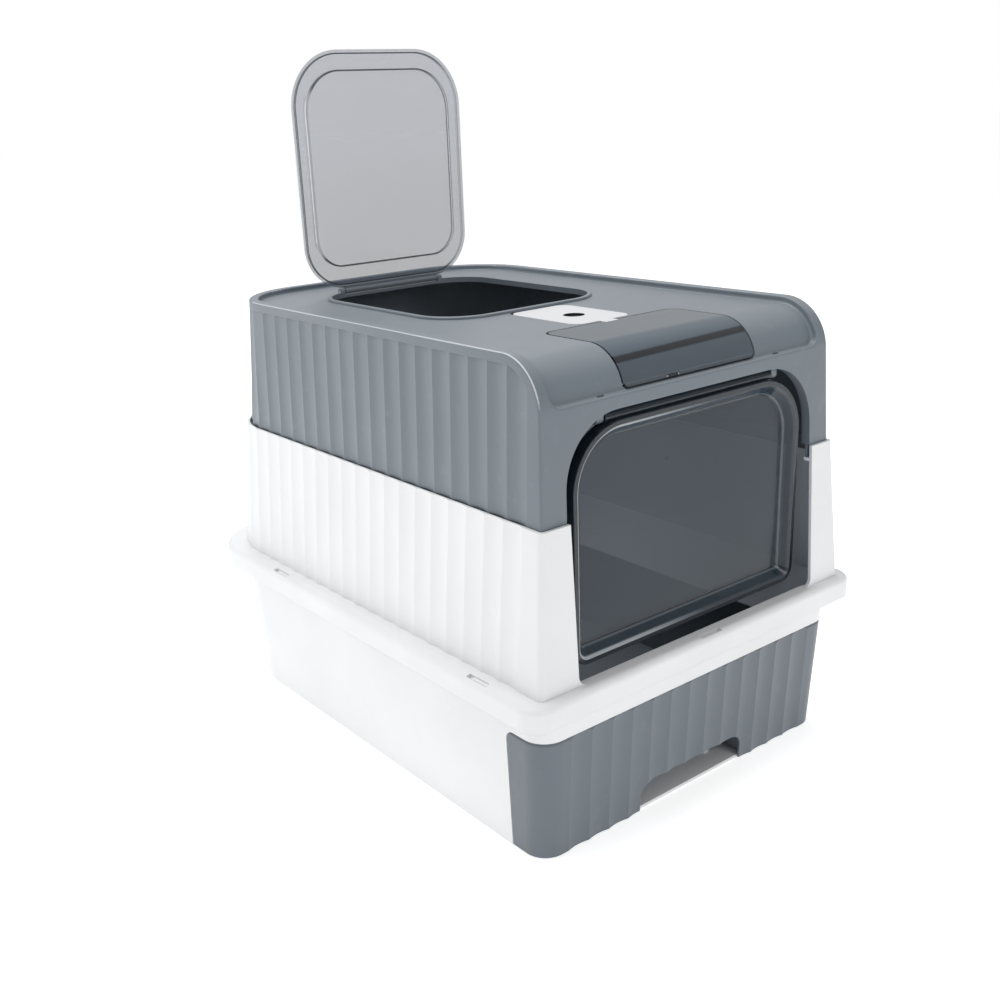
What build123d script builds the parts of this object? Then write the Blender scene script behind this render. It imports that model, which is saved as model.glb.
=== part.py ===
from build123d import *
import math
import os

# Covered litter box, in millimetres. +Z is up, -Y is the door side, and the
# origin is the middle of the footprint on the ground.

# Overall size
width = 350.0
depth = 480.0
height = 360.0

# Walls and clearances
wall = 2.6
fit_gap = 0.3
drawer_gap = 0.8
pin_fit = 0.05
pin_press = 0.01

# Levels from the ground up
shoulder_level = 135.0
hem_drop = 18.2
drawer_drop = 38.6
ring_rise = 115.0
ledge_drop = 33.5

# Base shell
base_side_inset = 19.7
base_end_inset = 17.0
base_side_lean = 0.028
base_front_lean = 0.056
base_rear_lean = 0.053
base_front_radius = 18.0
base_rear_radius = 60.0
floor_thick = 2.5
flange_thick = 3.2
runner_height = 1.5
runner_width = 6.0
guide_height = 6.5
guide_width = 2.5
tongue_length = 16.0
tongue_width = 3.2
tongue_sink = 0.6
slot_length = 21.0
tongue_from_rear = 143.0
tongue_from_front = 61.0

# Drawer
drawer_skin = 3.0
drawer_wrap_reach = 49.4
drawer_wrap_radius = 8.0
drawer_ground_gap = 1.0
drawer_edge_round = 2.0
notch_half = 57.0
notch_height = 24.5
notch_radius = 12.0
pocket_side_gap = 5.0
pocket_rise = 7.5
pocket_depth = 34.0
tray_wall = 2.2
tray_side_gap = 8.4
tray_rear_gap = 22.0
tray_drop = 6.4
tray_lip = 3.0
tray_lip_thick = 2.2
tray_radius = 34.0

# Ring
side_shoulder = 13.6
front_shoulder = 8.0
rear_shoulder = 5.0
hem_front_radius = 16.0
hem_rear_radius = 60.0
hem_round = 5.5
ring_side_lean = 0.0844
ring_front_lean = 0.0522
ring_rear_lean = 0.0783
ring_front_radius = 4.0
ring_rear_radius = 72.0
doorway_side = 49.0
doorway_radius = 7.0
seat_drop = 10.0
seat_width = 5.0
seat_thick = 2.5
apron_gap = 1.5
apron_drop = 34.0
apron_front_radius = 14.0

# Flutes moulded in the side and rear walls and in the drawer front
flute_pitch = 20.15
flute_depth = 1.3
flute_from_front = 31.7
flute_land = 0.15
rim_border = 7.0

# Top cover
cover_side_lean = 0.0445
cover_front_lean = 0.039
cover_rear_lean = 0.111
roll_radius = 37.5
rim_round = 1.5
rim_inner_round = 1.5
recess_round = 2.0
roof_drop = 5.0
rim_side = 9.0
rim_rear = 7.0
skirt_step = 2.0
skirt_thick = 2.0
skirt_lap = 1.5
recess_end_radius = 9.0
arch_drop = 9.5
arch_side_step = 1.5
arch_side_lean = 0.0346
arch_radius = 48.0
core_slot_width = 6.0
core_slot_depth = 1.6

# Hatch in the roof
hatch_half = 82.0
hatch_from_front = 194.0
hatch_from_rear = 89.5
hatch_radius = 38.0
bead_width = 3.5
bead_rise = 2.2

# Hatch lid
lid_lap = 5.5
lid_overrun = 1.0
lid_foot_gap = 0.4
lid_radius = 38.0
lid_tip_radius = 48.0
lid_thick = 2.4
lid_behind_pivot = 0.6
contour_inset = 13.5
contour_foot_inset = 19.0
contour_tip_inset = 16.5
contour_rise = 1.1
rim_line_inset = 2.6
rim_line_width = 0.9
rim_line_depth = 0.5
leaf_half = 50.8
hatch_barrel_radius = 2.6
hatch_pivot_gap = 1.5
hatch_pivot_rise = 3.0
hatch_lug_width = 4.6
hatch_pin_radius = 1.2

# Front door
door_side_gap = 8.5
door_foot_gap = 5.5
door_top_gap = 8.0
door_front_inset = 20.5
door_depth = 10.0
door_top_radius = 45.0
door_foot_radius = 12.0
door_rim = 4.0
door_bevel = 8.0
door_thick = 2.0
door_pivot_drop = 6.0
door_pivot_inset = 7.6
door_barrel_radius = 4.5
door_bar_inset = 32.5
door_lug_gap = 1.0
door_lug_width = 6.0
door_lug_radius = 3.6
door_pin_radius = 2.0
door_pin_grip = 8.0
door_nub_rise = 2.0
door_nub_gap = 19.5
door_nub_height = 12.0

# Compartment flap and its tub
flap_rear_half = 66.2
flap_from_front = 106.0
flap_gap = 1.6
flap_thick = 2.4
flap_rear_radius = 10.0
flap_foot_radius = 5.0
flap_barrel_radius = 2.2
flap_barrel_inset = 2.0
flap_pin_radius = 0.9
flap_pin_grip = 7.0
flap_boss_width = 6.0
tub_wall = 1.8
tub_floor_drop = 0.5
tub_flange = 5.0
tub_skin_gap = 0.2

# Flap latch
latch_half = 29.0
latch_hatch_gap = 5.0
latch_flap_gap = 4.5
latch_radius = 10.0
latch_thick = 2.0
latch_hole_radius = 8.2
latch_hole_inset = 34.5
latch_travel = 3.0
latch_nose_half = 6.5
latch_nose_reach = 7.5
latch_nose_thick = 1.4
latch_bed = 2.2
latch_bed_border = 5.0
latch_slot_half = 9.0
latch_key_half = 5.0
latch_key_gap = 0.3

# Worked-out sizes
far = 2.0 * (width + depth + height)
hem_half = width / 2
hem_reach = depth / 2
hem_bottom = shoulder_level - hem_drop
drawer_top = shoulder_level - drawer_drop
tray_top = drawer_top - tray_drop
ring_top = shoulder_level + ring_rise
shoulder_under = shoulder_level - wall
roof_level = height - roof_drop
ledge_level = height - ledge_drop
base_foot_half = hem_half - base_side_inset
base_foot_reach = hem_reach - base_end_inset
drawer_wrap = drawer_wrap_reach - hem_reach
pocket_half = notch_half + pocket_side_gap
pocket_height = notch_height + pocket_rise
recess_roll = roll_radius - roof_drop
skin_roll = recess_roll - wall
ring_foot_half = hem_half - side_shoulder
ring_foot_front = -hem_reach + front_shoulder
ring_foot_rear = hem_reach - rear_shoulder
flute_start = flute_from_front - hem_reach
side_flutes = int((ring_foot_rear - ring_rear_radius - flute_start) / flute_pitch)
last_ridge = flute_start + side_flutes * flute_pitch
rear_run = ring_foot_rear - last_ridge + ring_foot_half + (math.pi / 2 - 2) * ring_rear_radius
rear_flutes = round(rear_run / flute_pitch)
drawer_flutes = int(2 * (base_foot_half - base_front_radius) / flute_pitch)
doorway_half = hem_half - doorway_side
arch_top = ledge_level - arch_drop
arch_half = doorway_half - arch_side_step
hatch_front = hatch_from_front - hem_reach
hatch_rear = hem_reach - hatch_from_rear
hatch_pivot_y = hatch_rear + hatch_pivot_gap
hatch_pivot_level = roof_level + hatch_pivot_rise
lid_half = hatch_half + lid_lap
lid_foot_level = hatch_pivot_level + hatch_barrel_radius + lid_foot_gap
lid_tip_level = lid_foot_level + hatch_rear - hatch_front + lid_overrun
door_half = doorway_half - door_side_gap
door_bar_half = door_half - door_bar_inset
door_foot_level = shoulder_level + door_foot_gap
door_plate_top = arch_top - door_top_gap
door_pivot_level = arch_top - door_pivot_drop
door_front_y = door_front_inset - hem_reach
door_pivot_y = door_front_y + door_pivot_inset
flap_rear_y = flap_from_front - hem_reach
tub_floor_level = ledge_level - tub_floor_drop
latch_rear_y = hatch_front - latch_hatch_gap
latch_front_y = flap_rear_y + latch_flap_gap
latch_hole_y = latch_front_y + latch_hole_inset


def corner(cx, cy, radius, start, end, level):
    """Quarter arc of a level outline, counted in degrees from +X."""
    points = []
    for angle in (start, (start + end) / 2, end):
        turn = math.radians(angle)
        points.append(Vector(cx + radius * math.cos(turn), cy + radius * math.sin(turn), level))
    return Edge.make_three_point_arc(*points)


def outline(half, front, rear, front_radius, rear_corner, level):
    """Closed level outline with rounded front and rear corners."""
    def line(x1, y1, x2, y2):
        return Edge.make_line(Vector(x1, y1, level), Vector(x2, y2, level))
    left_front = (-half + front_radius, front + front_radius)
    right_front = (half - front_radius, front + front_radius)
    right_rear = (half - rear_corner, rear - rear_corner)
    left_rear = (-half + rear_corner, rear - rear_corner)
    edges = [
        line(-half, left_rear[1], -half, left_front[1]),
        line(left_front[0], front, right_front[0], front),
        line(half, right_front[1], half, right_rear[1]),
        corner(*right_rear, rear_corner, 0, 90, level),
        line(right_rear[0], rear, left_rear[0], rear),
        corner(*left_rear, rear_corner, 90, 180, level),
    ]
    if front_radius > 0:
        edges.insert(2, corner(*right_front, front_radius, 270, 360, level))
        edges.insert(1, corner(*left_front, front_radius, 180, 270, level))
    return Wire(edges)


def tapered(low, high):
    """Solid between two level outlines."""
    return Part() + Solid.make_loft([outline(*low), outline(*high)], ruled=True)


def slab(half, front, rear, front_radius, rear_corner, low, high):
    """Straight-sided solid on one rounded outline."""
    face = Face(outline(half, front, rear, front_radius, rear_corner, low))
    return extrude(face, high - low, dir=(0, 0, 1))


def block(x1, x2, y1, y2, z1, z2):
    """Box between two corners."""
    return Pos((x1 + x2) / 2, (y1 + y2) / 2, (z1 + z2) / 2) * Box(x2 - x1, y2 - y1, z2 - z1)


def side_profile(points, rounds, half):
    """Solid with the given side view (y, z), as wide as half each way."""
    face = Plane.YZ * make_face(Polyline(*points, close=True))
    for (y, z), radius in rounds:
        nearest = face.vertices().sort_by_distance(Vector(0, y, z))[0]
        face = fillet(nearest, radius)
    return extrude(face, half, dir=(1, 0, 0), both=True)


def front_profile(points, rounds, low_y, high_y):
    """Solid with the given front view (x, z), between two depths."""
    face = make_face(Polyline(*[(x, low_y, z) for x, z in points], close=True))
    for (x, z), radius in rounds:
        nearest = face.vertices().sort_by_distance(Vector(x, low_y, z))[0]
        face = fillet(nearest, radius)
    return extrude(face, high_y - low_y, dir=(0, 1, 0))


def bar(radius, x1, x2, y, z):
    """Round bar along X."""
    return Pos((x1 + x2) / 2, y, z) * Rot(0, 90, 0) * Cylinder(radius, x2 - x1)


# Outlines of the three storeys

def base_level(inset, z):
    """Base wall at a height, inset from its outer face."""
    half = base_foot_half + base_side_lean * z - inset
    front = -base_foot_reach - base_front_lean * z + inset
    rear = base_foot_reach + base_rear_lean * z - inset
    return (half, front, rear, base_front_radius - inset, base_rear_radius - inset, z)


def ring_level(inset, z):
    """Ring wall at a height, inset from its outer face."""
    rise = z - shoulder_level
    half = ring_foot_half - ring_side_lean * rise - inset
    front = ring_foot_front + ring_front_lean * rise + inset
    rear = ring_foot_rear - ring_rear_lean * rise - inset
    return (half, front, rear, ring_front_radius - min(inset, wall), ring_rear_radius - inset, z)


cover_half, cover_front, cover_rear = ring_level(wall + fit_gap, ring_top)[:3]


def cover_level(inset, z):
    """Cover wall at a height, inset from its outer face."""
    rise = z - ring_top
    half = cover_half - cover_side_lean * rise - inset
    front = cover_front + cover_front_lean * rise + inset
    rear = cover_rear - cover_rear_lean * rise - inset
    return (half, front, rear, ring_front_radius - min(inset, wall), ring_rear_radius - inset, z)


def hem_level(inset, z):
    """Hem of the ring, inset from its outer face."""
    return (hem_half - inset, -hem_reach + inset, hem_reach - inset, hem_front_radius - inset,
            hem_rear_radius - inset, z)


# Flutes

def flute_arc(start, middle, end, depth, level):
    """One hollow between two ridges: middle is pushed in towards the centre line."""
    chord = Vector(end[0] - start[0], end[1] - start[1], 0).normalized()
    inward = Vector(-chord.Y, chord.X, 0)
    low = Vector(middle[0], middle[1], level) + inward * depth
    return Edge.make_three_point_arc(Vector(*start, level), low, Vector(*end, level))


def wall_point(half, rear, rear_corner, walk, side_length):
    """Point of the right wall at a walked length past the last vertical ridge."""
    arc_length = rear_corner * math.pi / 2
    if walk <= side_length:
        return (half, rear - rear_corner - side_length + walk)
    if walk <= side_length + arc_length:
        turn = (walk - side_length) / rear_corner
        centre = (half - rear_corner, rear - rear_corner)
        return (centre[0] + rear_corner * math.cos(turn), centre[1] + rear_corner * math.sin(turn))
    return (half - rear_corner - (walk - side_length - arc_length), rear)


def fluted_outline(level):
    """Closed outline whose side and rear walls are fluted, with a plain front."""
    half, front, rear, front_radius, rear_corner, z = level
    ridges = []
    middles = []
    for index in range(side_flutes):
        ridges.append((half, flute_start + index * flute_pitch))
        middles.append((half, flute_start + (index + 0.5) * flute_pitch))
    side_length = rear - rear_corner - last_ridge
    half_length = side_length + rear_corner * math.pi / 2 + half - rear_corner
    for index in range(rear_flutes + 1):
        walk = half_length * index / rear_flutes
        ridges.append(wall_point(half, rear, rear_corner, walk, side_length))
        if index < rear_flutes:
            step = half_length * (index + 0.5) / rear_flutes
            middles.append(wall_point(half, rear, rear_corner, step, side_length))
    edges = []
    for start, middle, end in zip(ridges, middles, ridges[1:]):
        edges.append(flute_arc(start, middle, end, flute_depth, z))
    for start, middle, end in reversed(list(zip(ridges, middles, ridges[1:]))):
        turned = [(-x, y) for x, y in (end, middle, start)]
        edges.append(flute_arc(*turned, flute_depth, z))
    corners = [(-half, flute_start), (-half, front), (half, front), (half, flute_start)]
    for (x1, y1), (x2, y2) in zip(corners, corners[1:]):
        edges.append(Edge.make_line(Vector(x1, y1, z), Vector(x2, y2, z)))
    return Wire(edges)


def fluted_core(low, high):
    """Solid between two fluted outlines."""
    return Part() + Solid.make_loft([fluted_outline(low), fluted_outline(high)], ruled=True)


# Base

def drawer_bay(top, wrap, round_radius):
    """Space of the drawer front in side view, open at the front."""
    front = -far
    points = [(front, -far), (wrap, -far), (wrap, top), (front, top)]
    return side_profile(points, [((wrap, top), round_radius)], far)


def ring_flange():
    """Flat rim of the base that carries the ring."""
    reach = wall + fit_gap
    return slab(*hem_level(reach, 0)[:5], shoulder_under - flange_thick, shoulder_under)


def shoulder_spots():
    """Middles of the shoulder slots, with the way that each one runs."""
    inset = wall + 2 * fit_gap + tongue_width / 2
    side_x = hem_half - inset
    front_y = inset - hem_reach
    spots = []
    for side in (-1, 1):
        for y in (hem_reach - tongue_from_rear, tongue_from_front - hem_reach):
            spots.append((side * side_x, y, "y"))
    spots.append((0.0, front_y, "x"))
    return spots


def make_base_shell():
    """White lower tub: walls, floor, drawer bay, flange and snap tongues."""
    outer = tapered(base_level(0, 0), base_level(0, shoulder_under))
    inner = tapered(base_level(wall, floor_thick), base_level(wall, shoulder_under + wall))
    flange = ring_flange() - tapered(base_level(wall, floor_thick), base_level(wall, far / 4))
    bay = drawer_bay(drawer_top + drawer_gap, drawer_wrap + drawer_gap, drawer_wrap_radius)
    shell = outer + flange - inner - bay
    half, front, rear, front_radius, rear_corner, z = base_level(drawer_skin + drawer_gap, 0)
    tongue_floor = slab(half, front, drawer_wrap + 2 * rear_corner, front_radius, wall, 0, floor_thick)
    shell = shell + (tongue_floor & tapered(base_level(wall, 0), base_level(wall, floor_thick)))
    bay_rear = drawer_wrap + drawer_gap
    run_front = base_level(drawer_skin + drawer_gap, 0)[1] + base_front_radius
    run_rear = base_foot_reach - base_rear_radius
    tray_half = base_level(tray_side_gap, floor_thick)[0]
    for share in (-0.75, -0.28, 0.28, 0.75):
        x = share * tray_half
        shell = shell + block(x - runner_width / 2, x + runner_width / 2, run_front, run_rear,
                              floor_thick / 2, floor_thick + runner_height)
    guide_x = tray_half + fit_gap * 3
    for side in (-1, 1):
        edges = sorted((side * guide_x, side * (guide_x + guide_width)))
        shell = shell + block(*edges, bay_rear, run_rear, floor_thick / 2, floor_thick + guide_height)
    for x, y, run in shoulder_spots():
        long_x = tongue_length if run == "x" else tongue_width
        long_y = tongue_length if run == "y" else tongue_width
        shell = shell + block(x - long_x / 2, x + long_x / 2, y - long_y / 2, y + long_y / 2,
                              shoulder_under - flange_thick / 2, shoulder_level - tongue_sink)
    return shell


# Drawer

def make_drawer_front():
    """Slate front panel that wraps round both front corners of the base."""
    outer = tapered(base_level(0, drawer_ground_gap), base_level(0, drawer_top))
    outer = fillet(outer.faces().sort_by(Axis.Z)[-1].edges(), drawer_edge_round)
    inner = tapered(base_level(drawer_skin, 0), base_level(drawer_skin, drawer_top + drawer_skin))
    panel = (outer - inner) & drawer_bay(drawer_top + 1, drawer_wrap, drawer_wrap_radius)
    notch = front_profile(
        [(-notch_half, -notch_height), (notch_half, -notch_height),
         (notch_half, notch_height), (-notch_half, notch_height)],
        [((notch_half, notch_height), notch_radius), ((-notch_half, notch_height), notch_radius)],
        -hem_reach, drawer_wrap)
    panel = panel - notch
    radius = flute_pitch ** 2 / (8 * flute_depth) + flute_depth / 2
    lean = math.degrees(math.atan(base_front_lean))
    front = base_level(0, drawer_top / 2)[1]
    for index in range(drawer_flutes):
        x = (index - (drawer_flutes - 1) / 2) * flute_pitch
        groove = Rot(lean, 0, 0) * Cylinder(radius, 2 * drawer_top)
        centre_y = front - (radius - flute_depth) / math.cos(math.radians(lean))
        panel = panel - Pos(x, centre_y, drawer_top / 2) * groove
    return panel


def tray_level(inset, z):
    """Tray wall at a height; its front lies along the drawer front's inner face."""
    half, front, rear, front_radius, rear_corner, z = base_level(0, z)
    half = half - tray_side_gap - inset
    front = front + drawer_skin + 0.1 + inset
    rear = base_level(0, 0)[2] - tray_rear_gap - inset
    return (half, front, rear, base_front_radius - drawer_skin - min(inset, tray_wall), tray_radius - inset, z)


def make_litter_tray():
    """Slate tray with a finger pocket behind the notch."""
    foot = floor_thick + runner_height + 0.1
    outer = tapered(tray_level(0, foot), tray_level(0, tray_top))
    lip_low = tray_level(0, tray_top - tray_lip_thick)
    lip = slab(lip_low[0] + tray_lip, lip_low[1], lip_low[2] + tray_lip, lip_low[3],
               lip_low[4] + tray_lip, tray_top - tray_lip_thick, tray_top)
    front = base_level(drawer_skin, 0)[1]
    pocket_rear = front + pocket_depth
    pocket = block(-pocket_half, pocket_half, -far, pocket_rear, -far, pocket_height)
    pocket_wall = block(-pocket_half - tray_wall, pocket_half + tray_wall, -far,
                        pocket_rear + tray_wall, -far, pocket_height + tray_wall)
    inner = tapered(tray_level(tray_wall, foot + tray_wall), tray_level(tray_wall, tray_top + 1))
    return outer + lip - (inner - pocket_wall) - pocket


# Ring

def shoulder_slots():
    """Slots of the shoulder that the base's tongues come up through."""
    slots = []
    for x, y, run in shoulder_spots():
        long_half = tongue_length / 2 + fit_gap
        wide_half = tongue_width / 2 + fit_gap
        extra = slot_length - tongue_length - fit_gap
        low = -long_half
        high = long_half + extra
        if run == "x":
            slots.append(block(x + low, x + high, y - wide_half, y + wide_half, hem_bottom, ring_top))
        else:
            slots.append(block(x - wide_half, x + wide_half, y + low, y + high, hem_bottom, ring_top))
    return slots


def make_apron():
    """Sloping skirt inside the ring that leads litter back into the tray."""
    half, front, rear = base_level(wall + apron_gap, shoulder_level)[:3]
    crease_rear = base_rear_radius - wall - apron_gap
    slant = wall * math.sqrt(2)
    foot = shoulder_level - apron_drop
    foot_front = 3.0
    foot_rear = crease_rear - apron_drop
    top = (half, front, rear, apron_front_radius, crease_rear, shoulder_level)
    low = (half - apron_drop, front + apron_drop, rear - apron_drop, foot_front, foot_rear, foot)
    outer_top = (half + slant, front - slant, rear + slant, apron_front_radius + slant,
                 crease_rear + slant, shoulder_level)
    outer_low = (low[0] + slant, low[1] - slant, low[2] + slant, foot_front + slant,
                 foot_rear + slant, foot)
    over = slab(*hem_level(side_shoulder / 2, 0)[:5], foot - 1, shoulder_under)
    hopper = tapered(outer_low, outer_top)
    keep = over & tapered(base_level(wall + fit_gap, 0), base_level(wall + fit_gap, shoulder_level))
    hollow = tapered(low, top)
    return (hopper & keep), hollow


def make_mid_shell():
    """White ring: hem, fluted walls, doorway, seat for the cover and apron."""
    hem = slab(*hem_level(0, 0)[:5], hem_bottom, shoulder_level)
    top_edges = hem.faces().sort_by(Axis.Z)[-1].edges()
    hem = fillet(top_edges, hem_round)
    hem = hem - slab(*hem_level(wall, 0)[:5], hem_bottom - 1, shoulder_under)
    walls = tapered(ring_level(0, shoulder_level - 1), ring_level(0, ring_top))
    flutes = fluted_core(ring_level(flute_land, shoulder_level - 2), ring_level(flute_land, ring_top + 2))
    field = block(-far, far, flute_start - 0.01, far, shoulder_level, ring_top + 1)
    walls = walls - (field - flutes)
    cavity = tapered(ring_level(wall, shoulder_under), ring_level(wall, ring_top + 1))
    seat_top = ring_top - seat_drop
    seat = slab(*ring_level(wall + seat_width, seat_top)[:5], seat_top - 2 * seat_thick, seat_top + 1)
    seat_band = slab(*ring_level(0, seat_top)[:5], seat_top - seat_thick, seat_top)
    cavity = cavity - (seat_band - seat)
    doorway = front_profile(
        [(-doorway_half, shoulder_level), (doorway_half, shoulder_level),
         (doorway_half, ring_top + 10), (-doorway_half, ring_top + 10)],
        [((doorway_half, shoulder_level), doorway_radius), ((-doorway_half, shoulder_level), doorway_radius)],
        -hem_reach - 1, ring_level(wall + seat_width, ring_top)[1] + 1)
    apron, hollow = make_apron()
    ring = (hem + apron - hollow) + (walls - cavity - doorway)
    for slot in shoulder_slots():
        ring = ring - (slot & slab(*hem_level(0.5, 0)[:5], shoulder_under - 1, shoulder_level + wall))
    return ring


# Top cover

def cover_side_view(shrink, low, roll):
    """Side view of the cover, shrunk evenly, with the front roll rounded."""
    front_low = cover_level(shrink, low)[1]
    front_high = cover_level(shrink, height - shrink)[1]
    rear_low = cover_level(shrink, low)[2]
    rear_high = cover_level(shrink, height - shrink)[2]
    points = [(front_low, low), (front_high, height - shrink), (rear_high + 20, height - shrink),
              (rear_low + 20, low)]
    return side_profile(points, [((front_high, height - shrink), roll)], far)


def arch_points(top):
    """Front view of the door opening, up to its top."""
    foot_half = arch_half + arch_side_lean * (top - shoulder_level)
    return [(-foot_half, shoulder_level), (foot_half, shoulder_level), (arch_half, top), (-arch_half, top)]


def recess():
    """Space of the sunken roof, from its rear end down the roll to the ledge."""
    front = cover_level(0, height)[1]
    shape = [(front - 20, ledge_level), (front - 20, height + 20), (hem_reach, height + 20), (hem_reach, ledge_level)]
    above = side_profile(shape, [], far)
    above = above - cover_side_view(roof_drop, ring_top, recess_roll)
    half, front, rear, front_radius, rear_corner, z = cover_level(rim_side, height)
    rear = cover_level(rim_rear, height)[2]
    plan = slab(half, -hem_reach - 20, rear, front_radius, rear_corner, ring_top, height + 20)
    window = front_profile(
        [(-half, ledge_level), (half, ledge_level), (half, height + 20), (-half, height + 20)],
        [((half, ledge_level), recess_end_radius), ((-half, ledge_level), recess_end_radius)],
        -hem_reach - 20, hem_reach)
    room = above & plan & window
    floor_edges = room.edges().filter_by_position(Axis.Z, roof_level - 0.01, roof_level + 0.01)
    roll_end = front + 2 * roll_radius
    floor_edges = [edge for edge in floor_edges if edge.center().Y > roll_end]
    return fillet(floor_edges, recess_round)


def cover_body():
    """Outer form of the cover with its rounded rim and the sunken roof."""
    levels = []
    for z in (ring_top, height):
        half, front, rear, front_radius, rear_corner, z = cover_level(0, z)
        levels.append((half, front - roll_radius, rear, 0, rear_corner, z))
    body = tapered(*levels) & cover_side_view(0, ring_top - 1, roll_radius)
    roll_end = cover_level(0, height)[1] + 2 * roll_radius
    inner_half = cover_level(rim_side, height)[0]
    rim = []
    for edge in body.edges():
        middle = edge.center()
        on_top = middle.Z > height - 0.01 and middle.Y > roll_end
        on_post = middle.Y < roll_end and abs(middle.X) > inner_half and middle.Z > ring_top + 1
        if on_top or on_post:
            rim.append(edge)
    body = fillet(rim, rim_round)
    body = body - recess()
    lip = []
    for edge in body.edges().filter_by_position(Axis.Z, height - 0.01, height + 0.01):
        middle = edge.center()
        rear = cover_level(rim_rear, height)[2]
        if middle.Y > roll_end and abs(middle.X) < inner_half + 0.1 and middle.Y < rear + 0.1:
            lip.append(edge)
    return fillet(lip, rim_inner_round)


def flap_face(grow):
    """Plan and front views of the flap, grown evenly for its opening."""
    half = flap_rear_half + grow
    rear_radius_here = flap_rear_radius + grow
    plan = slab(half, -far, flap_rear_y + grow, 1, rear_radius_here, 0, far / 2)
    foot = ledge_level + flap_gap - grow
    window = front_profile(
        [(-half, foot), (half, foot), (half, far / 4), (-half, far / 4)],
        [((half, foot), flap_foot_radius), ((-half, foot), flap_foot_radius)],
        -hem_reach, flap_rear_y + 2 * grow + 1)
    return plan & window


def roof_skin(outer_shrink, thick):
    """Layer under the sunken roof and its roll."""
    outer = cover_side_view(outer_shrink, ring_top, roll_radius - outer_shrink)
    inner = cover_side_view(outer_shrink + thick, ring_top, roll_radius - outer_shrink - thick)
    return outer - inner


def flap_pivot():
    """Axis of the flap, just inside its lower front edge."""
    level = ledge_level + flap_gap + flap_barrel_radius
    roll_y = cover_level(0, height - roll_radius)[1] + roll_radius
    below = height - roll_radius - level
    face_y = roll_y - math.sqrt(recess_roll ** 2 - below ** 2)
    return (face_y + flap_barrel_radius, level)


def latch_bed_box():
    """Thick pad under the roof that the latch slides on."""
    border = latch_bed_border
    front = flap_rear_y + flap_gap
    low = roof_level - latch_thick - latch_bed
    return block(-latch_half - border, latch_half + border, front, latch_rear_y + latch_travel + border,
                 low, roof_level - wall / 2)


def latch_room(grow, travel):
    """Space of the latch plate and its nose."""
    low = roof_level - latch_thick - grow / 3
    plate = slab(latch_half + grow, latch_front_y - grow, latch_rear_y + travel + grow,
                 latch_radius + grow, latch_radius + grow, low, roof_level)
    nose = block(-latch_nose_half - grow, latch_nose_half + grow, latch_front_y - latch_nose_reach - grow,
                 latch_front_y + latch_radius, roof_level - latch_nose_thick - grow / 3, roof_level)
    return plate + nose


def hatch_lugs():
    """Two small ears on the roof for the hatch lid's pin."""
    ears = Part()
    for side in (-1, 1):
        edges = sorted((side * (leaf_half + fit_gap * 2), side * (leaf_half + fit_gap * 2 + hatch_lug_width)))
        ears = ears + bar(hatch_barrel_radius, *edges, hatch_pivot_y, hatch_pivot_level)
        ears = ears + block(*edges, hatch_pivot_y - hatch_barrel_radius, hatch_pivot_y + hatch_barrel_radius,
                            roof_level - wall / 2, hatch_pivot_level)
    return ears


def door_lugs():
    """Two ears inside the front wall for the door's pins."""
    wall_y = cover_level(wall / 2, arch_top)[1]
    ears = Part()
    for side in (-1, 1):
        edges = sorted((side * (door_bar_half + door_lug_gap), side * (door_bar_half + door_lug_gap + door_lug_width)))
        ears = ears + bar(door_lug_radius, *edges, door_pivot_y, door_pivot_level)
        ears = ears + block(*edges, door_pivot_y - door_lug_radius, door_pivot_y + door_lug_radius,
                            door_pivot_level, ledge_level - wall)
        ears = ears + block(*edges, wall_y, door_pivot_y + door_lug_radius, arch_top + 0.5,
                            ledge_level - wall)
    return ears


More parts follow.
